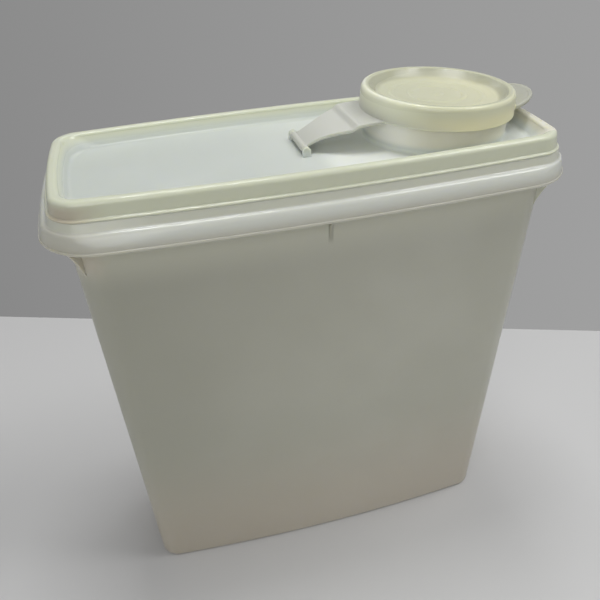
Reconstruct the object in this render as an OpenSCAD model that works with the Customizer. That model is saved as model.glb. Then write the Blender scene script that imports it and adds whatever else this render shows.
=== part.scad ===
// Pour-top cereal keeper: a tapered tub with bowed walls and a grip flange, a press-on seal whose
// recessed panel carries a pouring collar, and a flip cap that swings on a hinge bar.
// Origin at the centre of the base, +Z up, +X towards the pouring end. Millimetres.

/* [Tub] */
// Length of the tub at its base, between the straight ends
base_length = 195; // [180:1:205]
// Depth of the tub at its base, measured at the corners
base_depth = 58.4; // [50:0.2:66]
// Corner radius at the base
base_corner = 7.5; // [5:0.5:12]
// Length of the tub at the flange lip
body_length = 215.6; // [205:0.2:240]
// Depth of the tub at the flange lip, measured at the corners
body_depth = 80; // [76:0.5:92]
// Corner radius at the flange lip
body_corner = 11; // [8:0.5:16]
// Height of the flange lip above the base
lip_height = 214.9; // [160:0.1:260]
// How far each long wall bows out at its middle
bow_side = 4.7; // [2:0.1:7]
// How far each end wall bows out at its middle
bow_end = 2.1; // [0.5:0.1:4]
// Wall thickness
wall = 1.6; // [1.2:0.1:2.2]
// Floor thickness
floor_thickness = 2.2; // [1.6:0.1:3.5]
// Radius of the edge round the base
base_edge = 2.4; // [1.5:0.1:4]
// Width of the foot band that the tub stands on
foot_width = 6; // [3:0.5:10]
// Depth of the recess inside the foot band
foot_recess = 0.8; // [0.4:0.1:1.2]

/* [Flange and neck] */
// Height of the flange skirt
flange_height = 8.4; // [6:0.1:14]
// How far the flange lip stands out from the neck outline
flange_reach = 7; // [5.5:0.1:10]
// Thickness of the flange skirt
flange_thickness = 1.5; // [1:0.1:2]
// Fullness of the flange's curve: 0 is a straight cone, 1 a quarter round
flange_belly = 0.55; // [0.3:0.05:1]
// How much rounder the lip corners are than the neck corners
lip_corner_extra = 5; // [0:0.5:8]
// Height of the band between flange and ledge
band_height = 4; // [2:0.5:8]
// How far the band stands out from the neck outline at its foot
band_reach = 2.9; // [2:0.1:4]
// How far the ledge under the seal stands out
ledge_reach = 1.2; // [0.8:0.1:1.8]
// Height of the neck above the ledge
neck_height = 6.5; // [5:0.1:10]
// Thickness of the neck at its top
neck_wall = 1.7; // [1.2:0.1:2.4]
// How far the neck outline stands out from the tub at the ends
neck_step_end = 3.6; // [2.6:0.1:5]
// How far the neck outline stands out from the tub at the long sides
neck_step_side = 1.4; // [1:0.1:3]
// Thickness of the webs under the flange
web_thickness = 1.4; // [1:0.1:2.5]
// How far the side webs run down the wall below the lip
web_drop_side = 13; // [6:0.5:20]
// How far the corner webs run down the wall below the lip
web_drop_corner = 17; // [8:0.5:24]
// Hollow of the corner webs' free edge: 0 is straight, 1 a quarter round
web_hollow = 0.3; // [0:0.05:1]

/* [Seal] */
// Thickness of the seal
seal_thickness = 1.3; // [1.1:0.1:2]
// Play between the seal and the neck, all round
seal_play = 0.25; // [0.15:0.05:0.3]
// Depth of the panel below the crest
panel_recess = 6.3; // [5:0.1:9]
// Run of the sloping wall between crest and panel
panel_slope = 3.4; // [2:0.1:5]
// How much rounder the panel's corners are than those of the wall round it
panel_corner_extra = 12; // [4:0.5:14]
// How far the skirt flares towards its bottom edge
skirt_flare = 0.7; // [0.3:0.1:1.2]

/* [Pouring collar] */
// Radius of the pouring bore
spout_bore = 32.4; // [26:0.2:33]
// Thickness of the collar
collar_wall = 1.5; // [1.2:0.1:2]
// Distance from the end of the neck outline to the collar centre
spout_setback = 44.3; // [40:0.1:60]
// Height of the cap crest above the panel
spout_height = 21.5; // [17:0.5:26]
// Lean of the collar towards the pouring end, in degrees
spout_lean = 2.8; // [0:0.1:4]
// Fillet at the foot of the collar
collar_fillet = 1.4; // [0.8:0.1:1.8]

/* [Flip cap] */
// Play between cap and collar at the collar top
cap_play = 0.3; // [0.2:0.05:0.4]
// Thickness of the cap
cap_thickness = 1.6; // [1.4:0.1:2]
// Depth of the skirt below the crest
cap_skirt = 10.4; // [9:0.1:12]
// Depth of the dished top below the crest
cap_dish = 4; // [3:0.1:4.5]
// Radius of the flat of the dished top
dish_radius = 28; // [20:0.5:28.4]
// Height of the raised rings on the dished top
ring_height = 0.5; // [0.2:0.1:0.8]
// Radius of the thumb tab
tab_radius = 16; // [10:0.5:18]
// Upward tilt of the thumb tab, in degrees
tab_tilt = 15.6; // [0:0.2:20]
// Thickness of the thumb tab
tab_thickness = 1.4; // [1:0.1:2]

/* [Strap and hinge] */
// Length of the strap, from the hinge axis to the cap
strap_length = 32.1; // [26:0.1:40]
// Thickness of the strap
strap_thickness = 1.5; // [1.2:0.1:2]
// Width of the strap at the hinge
strap_width = 18; // [14:0.2:19]
// Width of the strap where it meets the cap
strap_root_width = 33; // [28:0.5:40]
// Rise of the strap's arch above its chord
strap_arch = 2; // [0:0.1:3]
// Distance from the hinge at which the strap has its full width
strap_flare_run = 25; // [16:0.5:28]
// Rise of the step that lifts the strap to the cap's skirt
strap_step = 1.3; // [0:0.1:2]
// Distance from the hinge to the foot of that step
strap_step_start = 20; // [15:0.5:24]
// Run of that step
strap_step_run = 4; // [2:0.5:6]
// Height of the hinge axis above the panel
hinge_height = 2.5; // [2.4:0.1:4]
// Radius of the hinge bar
bar_radius = 1.8; // [1.5:0.1:2]
// Radius of the pins at the ends of the bar
pin_radius = 1.1; // [0.9:0.05:1.2]
// Running clearance of the pins in the ears
pin_play = 0.08; // [0.04:0.01:0.1]
// Distance over the outsides of the two ears
ear_span = 26; // [24:0.1:30]
// Thickness of each ear
ear_thickness = 2.5; // [2.2:0.1:3.2]
// Play between the bar and each ear
ear_play = 0.25; // [0.15:0.05:0.4]

/* [Hidden] */
$fn = 96;

// Points round each corner, along each long side and along each end of an outline
corner_steps = 8;
side_steps = 12;
end_steps = 6;

// Levels
flange_top = lip_height + flange_height;
ledge_z = flange_top + band_height;
neck_top = ledge_z + neck_height;
roof_gap = 0.2;
skirt_gap = 0.3;
crest_z = neck_top + roof_gap + seal_thickness;
panel_z = crest_z - panel_recess;
panel_under = panel_z - seal_thickness;

// Neck outline, from which the flange and the seal take their offsets
neck_hx = body_length / 2 + neck_step_end;
neck_hy = body_depth / 2 + neck_step_side;
neck_corner = body_corner - 0.5;
neck_out = -(seal_thickness + roof_gap);
neck_in = neck_out - neck_wall;

// Collar, cap and hinge places
spout_x = neck_hx - spout_setback;
cap_crest_z = panel_z + spout_height;
collar_outer = spout_bore + collar_wall;
cap_roof = -(cap_thickness + 0.1);
collar_top = cap_roof - roof_gap;
skirt_in = collar_outer + cap_play;
cap_radius = skirt_in + 1.8;
skirt_swell = 0.4;
skirt_lip = 1.15;
plug_top = spout_bore - cap_play + 0.05;
plug_bottom = spout_bore - 2.05;
dish_under = -(cap_dish + cap_thickness - 0.1);
hinge_x = spout_x - cap_radius - strap_length;
hinge_z = panel_z + hinge_height;
bar_half = ear_span / 2 - ear_thickness - ear_play;
pin_end = 0.7;
ear_radius = hinge_height - 0.6;
ear_crown = 0.8;

// ---- outlines ----

function mix(a, b, t) = a + (b - a) * t;

function corner_arc(hx, hy, r, q) =
    let (sx = (q == 0 || q == 3) ? 1 : -1, sy = q < 2 ? 1 : -1)
    [for (i = [0:corner_steps]) let (t = 90 * (q + i / corner_steps))
        [sx * (hx - r) + r * cos(t), sy * (hy - r) + r * sin(t)]];

function between(p, q, n) = [for (i = [1:n - 1]) mix(p, q, i / n)];

// A rounded rectangle whose long sides and ends bow out
function outline(hx, hy, r) =
    let (arcs = [for (q = [0:3]) corner_arc(hx, hy, r, q)],
         flat = [for (q = [0:3]) each concat(arcs[q],
             between(arcs[q][corner_steps], arcs[(q + 1) % 4][0], q % 2 == 0 ? side_steps : end_steps))])
    [for (p = flat) [
        p.x + bow_end * p.x / hx * (1 - pow(p.y / hy, 2)),
        p.y + bow_side * p.y / hy * (1 - pow(p.x / hx, 2))]];

function ring(hx, hy, r, z) = [for (p = outline(hx, hy, r)) [p.x, p.y, z]];

// The tub's own outline at height z, moved out by o
function tub_ring(z, o) =
    let (t = z / lip_height)
    ring(mix(base_length, body_length, t) / 2 + o, mix(base_depth, body_depth, t) / 2 + o,
         max(mix(base_corner, body_corner, t) + o, 1), z);

// The neck outline at height z, moved out by o
function neck_ring(z, o, extra = 0) =
    ring(neck_hx + o, neck_hy + o, max(neck_corner + o + extra, 1), z);

// A closed solid through a list of rings, with a flat cap on the first and the last
module skin(rings) {
    n = len(rings[0]);
    last = len(rings) - 1;
    sides = [for (j = [0:last - 1]) for (i = [0:n - 1])
        let (a = j * n + i, b = j * n + (i + 1) % n)
        each [[a, a + n, b + n], [a, b + n, b]]];
    first_cap = [for (i = [0:n - 1]) i];
    last_cap = [for (i = [0:n - 1]) last * n + n - 1 - i];
    polyhedron(points = [for (r = rings) each r], faces = concat([first_cap], sides, [last_cap]));
}

// ---- container ----

// Curve of the flange, t from 0 at its top to 90 at its lip, for a surface inset by e
function flange_point(t, e) = [
    band_reach + (flange_reach - band_reach) * mix(t / 90, sin(t), flange_belly) - e * sin(t),
    flange_top - flange_height * (1 - cos(t)) - e * cos(t)];

lip_round = flange_thickness / 2;
under_z = flange_top - flange_thickness;
neck_round = 0.6;
inner_edge = base_edge;

function foot_rings() = [
    tub_ring(0, -base_edge - foot_width - foot_recess),
    tub_ring(0, -base_edge - foot_width),
    each [for (i = [0:4]) let (t = 90 * i / 4)
        tub_ring(base_edge * (1 - cos(t)), -base_edge * (1 - sin(t)))]];

function lifted(r, z) = [for (p = r) [p.x, p.y, z]];

function lip_ring(t, e) =
    let (p = flange_point(t, e))
    neck_ring(p.y, p.x, lip_corner_extra * sin(t));

function flange_rings() = [
    tub_ring(under_z - 1.8, 0),
    tub_ring(under_z - 0.6, 0.5),
    neck_ring(under_z, 0.8),
    each [for (t = [25, 50, 70]) lip_ring(t, flange_thickness)],
    each [for (a = [180:45:360])
        neck_ring(lip_height + lip_round * (1 + sin(a)), flange_reach - lip_round * (1 - cos(a)),
                  lip_corner_extra)],
    each [for (t = [70, 50, 30, 14, 0]) lip_ring(t, 0)]];

function neck_rings() = [
    neck_ring(flange_top + 0.5, band_reach - 0.5),
    neck_ring(ledge_z - 0.5, ledge_reach + 0.3),
    neck_ring(ledge_z, ledge_reach - 0.2),
    neck_ring(ledge_z, neck_out + skirt_flare),
    neck_ring(neck_top - neck_round, neck_out),
    neck_ring(neck_top, neck_out - neck_round),
    neck_ring(neck_top, neck_in + neck_round),
    neck_ring(neck_top - neck_round, neck_in),
    neck_ring(ledge_z - 1, neck_in + 0.2),
    tub_ring(under_z - 3, -wall)];

function floor_rings() = [for (i = [0:3]) let (t = 90 * i / 3)
    lifted(tub_ring(floor_thickness + inner_edge, -wall - inner_edge * (1 - cos(t))),
           floor_thickness + inner_edge * (1 - sin(t)))];

// A web from the wall out to the flange, in the plane through its foot: its free edge runs from the
// wall up to the lip, straight at hollow 0 and a quarter round at hollow 1, and its top stays inside
// the flange by tuck
module web(reach, drop, slope, hollow, tuck) {
    foot = lip_height - drop;
    top = under_z + 0.4;
    rotate([90, 0, 0])
        linear_extrude(height = web_thickness, center = true)
            polygon([
                [-wall / 2, foot],
                each [for (t = [0:15:90]) [
                    mix(0.1, reach, mix(t / 90, 1 - cos(t), hollow)),
                    mix(foot, lip_height + 0.6, mix(t / 90, sin(t), hollow))]],
                [reach - 0.3, lip_height + 2.4],
                [reach - tuck, top - 2.4],
                [reach - tuck - 0.3, top - 1.2],
                [reach - tuck - 1.8, top],
                [slope * (top - foot) - wall / 4, top]]);
}

// How far out the tub wall stands at height z, from the centre to its middle
function wall_x(z) = mix(base_length, body_length, z / lip_height) / 2 + bow_end;
function wall_y(z) = mix(base_depth, body_depth, z / lip_height) / 2 + bow_side;
function wall_corner(z) = mix(base_corner, body_corner, z / lip_height);

module webs() {
    side_foot = lip_height - web_drop_side;
    reach_side = neck_hy + bow_side + flange_reach - lip_round - wall_y(side_foot);
    for (s = [-1, 1])
        translate([0, s * wall_y(side_foot), 0]) rotate([0, 0, s * 90])
            web(reach_side, web_drop_side, (body_depth - base_depth) / 2 / lip_height, 1, 0.9);
    // Corner webs stand on the diagonal of each corner round
    foot = lip_height - web_drop_corner;
    r_foot = wall_corner(foot);
    corner_x = wall_x(foot) - bow_end - r_foot;
    corner_y = wall_y(foot) - bow_side - r_foot;
    lip_r = neck_corner + flange_reach + lip_corner_extra;
    gap_x = neck_hx + flange_reach - lip_r - corner_x + (lip_r - lip_round) * cos(45);
    gap_y = neck_hy + flange_reach - lip_r - corner_y + (lip_r - lip_round) * sin(45);
    reach = (gap_x + gap_y) * cos(45) - r_foot;
    slope = (wall_corner(lip_height) - r_foot) / web_drop_corner
        + ((body_length - base_length) / 2 - (body_corner - base_corner)) / lip_height * cos(45)
        + ((body_depth - base_depth) / 2 - (body_corner - base_corner)) / lip_height * cos(45);
    for (sx = [-1, 1], sy = [-1, 1])
        translate([sx * (corner_x + r_foot * cos(45)), sy * (corner_y + r_foot * sin(45)), 0])
            rotate([0, 0, sy * (sx > 0 ? 45 : 135)])
                web(reach, web_drop_corner, slope, web_hollow, 0.3);
}

module container() {
    color([0.86, 0.87, 0.84])
        union() {
            skin([
                lifted(foot_rings()[0], foot_recess),
                each [for (i = [1:len(foot_rings()) - 1]) foot_rings()[i]],
                each flange_rings(),
                each neck_rings(),
                each floor_rings()]);
            webs();
        }
}

// ---- seal ----

// Section of the seal from the underside of its panel, over the crest, to the top of its panel
crest_in = neck_in - seal_play - seal_thickness;
panel_edge = crest_in - panel_slope;

function seal_rings() = [
    neck_ring(panel_under, panel_edge - 0.3, panel_corner_extra),
    neck_ring(panel_under + 0.4, panel_edge + 1.6, panel_corner_extra * 0.95),
    neck_ring(panel_under + 1.5, panel_edge + 2.6, panel_corner_extra * 0.75),
    neck_ring(crest_z - 2.2, neck_in - seal_play),
    neck_ring(neck_top + roof_gap, neck_in - seal_play),
    neck_ring(neck_top + roof_gap, neck_out + seal_play),
    neck_ring(ledge_z + skirt_gap, neck_out + skirt_flare + seal_play + 0.05),
    neck_ring(ledge_z + skirt_gap, skirt_flare),
    neck_ring(ledge_z + skirt_gap + 0.3, skirt_flare + 0.3),
    neck_ring(ledge_z + skirt_gap + 0.8, skirt_flare + 0.2),
    neck_ring(ledge_z + skirt_gap + 1.2, skirt_flare - 0.1),
    each [for (t = [0:18:90])
        neck_ring(crest_z - 2.3 * (1 - sin(t)), -2 * (1 - cos(t)))],
    each [for (t = [0:18:90])
        neck_ring(crest_z - 1.6 * (1 - cos(t)), crest_in + 1.7 * (1 - sin(t)),
                  panel_corner_extra * 0.25 * (1 - cos(t)))],
    neck_ring(panel_z + 1.8, panel_edge + 1.5, panel_corner_extra * 0.7),
    neck_ring(panel_z + 1.1, panel_edge + 1.1, panel_corner_extra * 0.8),
    neck_ring(panel_z + 0.5, panel_edge + 0.6, panel_corner_extra * 0.9),
    neck_ring(panel_z + 0.12, panel_edge - 0.1, panel_corner_extra * 0.97),
    neck_ring(panel_z, panel_edge - 1.2, panel_corner_extra)];

// Places its children in the frame of the collar: origin at the cap's crest, leaning outward
module spout_frame() {
    translate([spout_x, 0, cap_crest_z]) rotate([0, spout_lean, 0]) children();
}

collar_drop = spout_height + 4;

module collar() {
    intersection() {
        spout_frame()
            rotate_extrude()
                polygon([
                    [0, -collar_drop],
                    [collar_outer, -collar_drop],
                    [collar_outer, collar_top - 0.4],
                    [collar_outer - 0.4, collar_top],
                    [0, collar_top]]);
        translate([spout_x - 2 * collar_outer, -2 * collar_outer, panel_under])
            cube([4 * collar_outer, 4 * collar_outer, spout_height + 10]);
    }
    translate([spout_x - spout_height * tan(spout_lean), 0, panel_z])
        rotate_extrude()
            polygon([
                [collar_outer - 1, -0.5],
                [collar_outer + collar_fillet, -0.5],
                each [for (t = [0:15:90]) [
                    collar_outer - 0.1 + (collar_fillet + 0.1) * (1 - sin(t)),
                    collar_fillet * (1 - cos(t))]],
                [collar_outer - 1, collar_fillet]]);
}

// An ear is a rounded upright with its outer rim taken off
module ears() {
    for (s = [-1, 1])
        translate([hinge_x, s * (ear_span / 2 - ear_thickness), hinge_z])
            rotate([-90 * s, 0, 0]) {
                cylinder(h = ear_thickness - ear_crown, r = ear_radius);
                translate([0, 0, ear_thickness - ear_crown])
                    cylinder(h = ear_crown, r1 = ear_radius, r2 = ear_radius - ear_crown * 0.6);
                translate([-ear_radius, s > 0 ? 0 : -hinge_height - 0.5, 0])
                    cube([2 * ear_radius, hinge_height + 0.5, ear_thickness - ear_crown * 0.5]);
            }
}

module pins(r, inset) {
    translate([hinge_x, 0, hinge_z])
        rotate([90, 0, 0])
            cylinder(h = ear_span - 2 * inset, r = r, center = true);
}

module seal() {
    color([0.90, 0.89, 0.74])
        difference() {
            union() {
                skin(seal_rings());
                collar();
                ears();
            }
            spout_frame()
                translate([0, 0, -collar_drop - 4]) cylinder(h = collar_drop + 8, r = spout_bore);
            difference() {
                pins(pin_radius + pin_play, pin_end);
                translate([hinge_x - ear_radius, -bar_half, hinge_z - ear_radius])
                    cube([2 * ear_radius, 2 * bar_half, 2 * ear_radius]);
            }
        }
}

// ---- flip cap ----

// Half section of the cap about the collar's axis, measured down from the crest
cap_half = [
    [0, dish_under],
    [dish_radius, dish_under],
    [plug_bottom, dish_under],
    [plug_top, cap_roof],
    [skirt_in, cap_roof],
    [cap_radius + skirt_swell - skirt_lip, -cap_skirt],
    [cap_radius + skirt_swell, -cap_skirt],
    [cap_radius, -2.2],
    each [for (t = [22.5:22.5:90]) [
        cap_radius - 1.6 * (1 - cos(t)),
        -2.2 * (1 - sin(t))]],
    each [for (t = [0:30:60]) [
        dish_radius + 5.4 - 1.6 * sin(t),
        -1.3 * (1 - cos(t))]],
    [dish_radius + 1.2, -cap_dish + 0.9],
    [dish_radius + 0.6, -cap_dish + 0.3],
    [dish_radius - 0.4, -cap_dish],
    [0, -cap_dish]];

// A low rounded ring on the dished top
module dish_ring(r, w) {
    rotate_extrude()
        polygon([
            [r - w / 2, -cap_dish - 0.3],
            [r + w / 2, -cap_dish - 0.3],
            each [for (t = [0:30:180]) [r + w / 2 * cos(t), -cap_dish + ring_height * sin(t)]]]);
}

module dish_rings() {
    dish_ring(dish_radius * 0.77, 2.4);
    dish_ring(dish_radius * 0.46, 2.4);
    translate([0, 0, -cap_dish - 0.3]) cylinder(h = ring_height + 0.3, r = dish_radius * 0.12);
}

// Clears everything inside the skirt from a piece that grows out of it
module skirt_bite() {
    translate([0, 0, -cap_skirt - 30])
        cylinder(h = cap_skirt + 60, r = cap_radius - 0.7);
}

module tab() {
    tab_z = -0.73 * cap_skirt;
    difference() {
        translate([cap_radius, 0, tab_z])
            rotate([0, -tab_tilt, 0])
                translate([-3, 0, 0]) {
                    cylinder(h = tab_thickness, r = tab_radius, center = true);
                    difference() {
                        cylinder(h = tab_thickness + 0.8, r = tab_radius, center = true);
                        cylinder(h = tab_thickness + 2, r = tab_radius - 1.5, center = true);
                    }
                }
        skirt_bite();
    }
}

// Where the top of the strap meets the cap: at the bottom edge of the skirt
strap_end_x = spout_x - cap_radius * cos(spout_lean) - cap_skirt * sin(spout_lean);
strap_end_z = cap_crest_z + cap_radius * sin(spout_lean) - cap_skirt * cos(spout_lean)
    + strap_thickness * 0.4;
strap_start_z = hinge_z + bar_radius - 0.4;
strap_over = 9;

function ease(t) = let (u = max(0, min(1, t))) u * u * (3 - 2 * u);

// Top of the strap at a distance d from the hinge: an arch, then a step up to the skirt
function strap_top(d) =
    let (t = min(1, d / (strap_end_x - hinge_x)))
    mix(strap_start_z, strap_end_z - strap_step, t) + 4 * strap_arch * t * (1 - t)
    + strap_step * ease((d - strap_step_start) / strap_step_run);

// Half width of the strap at a distance d from the hinge
function strap_half(d) = mix(strap_width, strap_root_width, ease((d - 2) / (strap_flare_run - 2))) / 2;

module strap() {
    far = strap_length + strap_over;
    // Distances at which the strap's side view and outline have their points
    run = [each [0.6:1.2:strap_length], far];
    last = len(run) - 1;
    difference() {
        intersection() {
            translate([hinge_x, 0, 0])
                rotate([90, 0, 0])
                    linear_extrude(height = strap_root_width + 10, center = true)
                        polygon([
                            each [for (d = run) [d, strap_top(d)]],
                            each [for (i = [0:last]) let (d = run[last - i])
                                [d, strap_top(d) - strap_thickness]]]);
            translate([hinge_x, 0, hinge_z - 10])
                linear_extrude(height = spout_height + 20)
                    polygon([
                        each [for (d = run) [d, -strap_half(d)]],
                        each [for (i = [0:last]) let (d = run[last - i]) [d, strap_half(d)]]]);
        }
        spout_frame() skirt_bite();
    }
}

module hinge_bar() {
    translate([hinge_x, 0, hinge_z])
        rotate([90, 0, 0])
            cylinder(h = 2 * bar_half, r = bar_radius, center = true);
    pins(pin_radius, pin_end + ear_play);
}

module flip_cap() {
    color([0.89, 0.88, 0.70])
        union() {
            spout_frame() {
                rotate_extrude() polygon(cap_half);
                dish_rings();
                tab();
            }
            strap();
            hinge_bar();
        }
}

container();
seal();
flip_cap();
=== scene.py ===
import bpy
import bmesh
import math
import numpy as np
from mathutils import Matrix, Vector


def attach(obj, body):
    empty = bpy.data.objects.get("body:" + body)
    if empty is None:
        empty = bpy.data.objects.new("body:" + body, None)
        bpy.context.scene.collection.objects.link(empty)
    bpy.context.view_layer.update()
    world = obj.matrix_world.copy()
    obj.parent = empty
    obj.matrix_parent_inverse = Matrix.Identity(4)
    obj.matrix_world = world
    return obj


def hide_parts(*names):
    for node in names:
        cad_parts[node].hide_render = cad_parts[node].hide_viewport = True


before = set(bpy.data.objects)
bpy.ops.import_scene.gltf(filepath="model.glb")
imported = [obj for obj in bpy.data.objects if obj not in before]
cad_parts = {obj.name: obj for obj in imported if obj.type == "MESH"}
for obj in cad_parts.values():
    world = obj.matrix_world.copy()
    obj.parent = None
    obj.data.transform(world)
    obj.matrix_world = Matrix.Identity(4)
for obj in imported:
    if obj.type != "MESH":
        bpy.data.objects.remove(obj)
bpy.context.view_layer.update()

MM = 0.001

# ---------------------------------------------------------- sizes in millimetres, as in the CAD source
# the tub's body: length, depth and corner radius at its base and at the flange's lip, and its bowed walls
BASE_L, BASE_D, BASE_R = 195.0, 58.4, 7.5
BODY_L, BODY_D, BODY_R = 215.6, 80.0, 11.0
LIP_Z = 214.9
BOW_SIDE, BOW_END = 4.7, 2.1
WALL, FLOOR_T, BASE_EDGE = 1.6, 2.2, 2.4
FOOT_W, FOOT_RECESS = 6.0, 0.8
# the grip flange, the band, ledge and neck above it, and the webs below it
FLANGE_H, FLANGE_REACH, FLANGE_T, FLANGE_BELLY = 8.4, 7.0, 1.5, 0.55
LIP_EXTRA = 5.0
BAND_H, BAND_REACH, LEDGE_REACH = 4.0, 2.9, 1.2
NECK_H, NECK_WALL = 6.5, 1.7
STEP_END, STEP_SIDE = 3.6, 1.4
WEB_T, WEB_DROP_SIDE, WEB_DROP_CORNER, WEB_HOLLOW = 1.4, 13.0, 17.0, 0.3
# the seal, with its panel and pouring collar
SEAL_T, SEAL_PLAY, ROOF_GAP, SKIRT_FLARE = 1.3, 0.25, 0.2, 0.7
PANEL_DROP, PANEL_SLOPE, PANEL_EXTRA = 6.3, 3.4, 12.0
BORE, COLLAR_W, COLLAR_FILLET = 32.4, 1.5, 1.4
SETBACK, SPOUT_H, LEAN = 44.3, 21.5, 2.8
# the flip cap, with its tab, strap and hinge
CAP_PLAY, CAP_T, CAP_SKIRT, CAP_DISH, DISH_R = 0.3, 1.6, 10.4, 4.0, 28.0
CAP_SWELL, CAP_LIP = 0.4, 1.15
TAB_R, TAB_TILT, TAB_T, TAB_BEAD = 16.0, 15.6, 1.4, 0.8
STRAP_L, STRAP_T, STRAP_W, STRAP_ROOT, STRAP_ARCH = 32.1, 1.5, 18.0, 33.0, 2.0
STRAP_FLARE, STRAP_STEP, STEP_START, STEP_RUN = 25.0, 1.3, 20.0, 4.0
HINGE_H, BAR_R, PIN_R = 2.5, 1.8, 1.1
EAR_SPAN, EAR_T, EAR_PLAY, PIN_END = 26.0, 2.5, 0.25, 0.7

# ---------------------------------------------------------- more sizes in millimetres, not all as in the CAD
# more play round the pins than in the CAD, a closer skirt, and wider and flatter rings
PIN_PLAY, SKIRT_GAP, RING_H, RING_W = 0.15, 0.06, 0.34, 2.6
# half a socket's depth, and a pin's length beyond the bar, which ends inside the ear's outer wall
SOCKET_HALF, PIN_L = 1.5, 2.7
# the bead along the flange's lip, and the lip along the foot of the seal's skirt: reach and height
BEAD, BEAD_H = 0.2, 1.36
SKIRT_LIP, SKIRT_LIP_H = 0.95, 1.15
# rounds and chamfers
FLOOR_ROUND, NECK_ROUND, COLLAR_EDGE, CHAMFER = 4.0, 0.65, 0.6, 0.3
CREST_ROUND_X, CREST_ROUND_Z, CREST_INNER_X, CREST_INNER_Z = 2.0, 2.3, 1.7, 1.6
EAR_ROUND, WEB_ROUND, STRAP_ROUND = 0.6, 0.25, 0.55

# ---------------------------------------------------------- worked out from them
# heights above the table
FLANGE_TOP = LIP_Z + FLANGE_H
UNDER_Z = FLANGE_TOP - FLANGE_T
LEDGE_Z = FLANGE_TOP + BAND_H
NECK_TOP = LEDGE_Z + NECK_H
CREST_Z = NECK_TOP + ROOF_GAP + SEAL_T
PANEL_Z = CREST_Z - PANEL_DROP
PANEL_UNDER = PANEL_Z - SEAL_T
CAP_Z = PANEL_Z + SPOUT_H
HINGE_Z = PANEL_Z + HINGE_H
# the outline that the neck and the seal are drawn from, and offsets from it
NECK_HX = BODY_L / 2 + STEP_END
NECK_HY = BODY_D / 2 + STEP_SIDE
NECK_R = BODY_R - 0.5
NECK_OUT = -(SEAL_T + ROOF_GAP)
NECK_IN = NECK_OUT - NECK_WALL
CREST_IN = NECK_IN - SEAL_PLAY - SEAL_T
PANEL_EDGE = CREST_IN - PANEL_SLOPE
# radii of the collar and the cap, and heights from the cap's crest
COLLAR_OUT = BORE + COLLAR_W
SKIRT_IN = COLLAR_OUT + CAP_PLAY
CAP_R = SKIRT_IN + 1.8
CAP_ROOF = -(CAP_T + 0.1)
COLLAR_TOP = CAP_ROOF - ROOF_GAP
# the collar's place, and the hinge's
SPOUT_X = NECK_HX - SETBACK
HINGE_X = SPOUT_X - CAP_R - STRAP_L
BAR_HALF = EAR_SPAN / 2 - EAR_T - EAR_PLAY
EAR_R = HINGE_H - 0.6

# ---------------------------------------------------------- mesh fineness: segments, welding and shading
CORNER_STEPS, SIDE_STEPS, END_STEPS = 12, 34, 18
COLLAR_SIDES, CAP_SIDES, TAB_SIDES, PIN_SIDES = 160, 176, 96, 48
MERGE, SHARP_ANGLE, NORMAL_WEIGHT = 0.004, 38.0, 60


def mix(a, b, t):
    return a + (b - a) * t


def cos_sin(a):
    """Cosine and sine of an angle in degrees."""
    return math.cos(math.radians(a)), math.sin(math.radians(a))


def arc(cx, cz, rx, rz, a0, a1, n):
    """n points on an elliptical arc, with its angles in degrees."""
    pts = []
    for a in np.linspace(a0, a1, n):
        c, s = cos_sin(a)
        pts.append((cx + rx * c, cz + rz * s))
    return pts


# ---------------------------------------------------------- outlines and profiles
def tub(z, o=0.0, at=None):
    """A station: the tub's half length, half depth and corner radius at height z, moved out by o, and z.

    Where at is given, the station lies at that height instead."""
    t = z / LIP_Z
    return np.array([mix(BASE_L, BODY_L, t) / 2 + o, mix(BASE_D, BODY_D, t) / 2 + o,
                     max(mix(BASE_R, BODY_R, t) + o, 1.0), z if at is None else at])


def neck(z, o=0.0, extra=0.0):
    """A station of the neck's outline at height z, moved out by o, its corner radius grown by extra too."""
    return np.array([NECK_HX + o, NECK_HY + o, max(NECK_R + o + extra, 1.0), z])


def ring(s):
    """A bowed rounded rectangle from one station."""
    hx, hy, r, z = s
    arcs = []
    for q, (sx, sy) in enumerate(((1, 1), (-1, 1), (-1, -1), (1, -1))):
        t = np.radians(90.0 * (q + np.linspace(0, 1, CORNER_STEPS + 1)))
        arcs.append(np.stack([sx * (hx - r) + r * np.cos(t), sy * (hy - r) + r * np.sin(t)], 1))
    pts = []
    for q in range(4):
        pts.append(arcs[q])
        n = SIDE_STEPS if q % 2 == 0 else END_STEPS
        k = np.linspace(0, 1, n + 1)[1:-1, None]
        pts.append(mix(arcs[q][-1], arcs[(q + 1) % 4][0], k))
    p = np.concatenate(pts)
    x = p[:, 0] + BOW_END * p[:, 0] / hx * (1 - (p[:, 1] / hy) ** 2)
    y = p[:, 1] + BOW_SIDE * p[:, 1] / hy * (1 - (p[:, 0] / hx) ** 2)
    return np.stack([x, y, np.full(len(x), z)], 1)


def rounded(corners):
    """Stations with their corners rounded: each entry is (station, size of the round, segments)."""
    out = []
    for i, (p, f, n) in enumerate(corners):
        if f == 0 or i in (0, len(corners) - 1):
            out.append(p)
            continue
        ends = []
        for q in (corners[i - 1][0], corners[i + 1][0]):
            d = math.hypot((q[0] - p[0] + q[1] - p[1]) / 2, q[3] - p[3])
            ends.append(p + (q - p) * min(f, 0.49 * d) / d)
        for k in range(n + 1):
            t = k / n
            out.append((1 - t) ** 2 * ends[0] + 2 * t * (1 - t) * p + t * t * ends[1])
    return out


# ---------------------------------------------------------- mesh helpers
def link(name, data):
    ob = bpy.data.objects.new(name, data)
    bpy.context.scene.collection.objects.link(ob)
    return ob


def to_mesh(name, verts, faces):
    me = bpy.data.meshes.new(name)
    me.from_pydata([tuple(float(c) * MM for c in v) for v in verts], [], faces)
    me.validate()
    me.update()
    return link(name, me)


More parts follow.
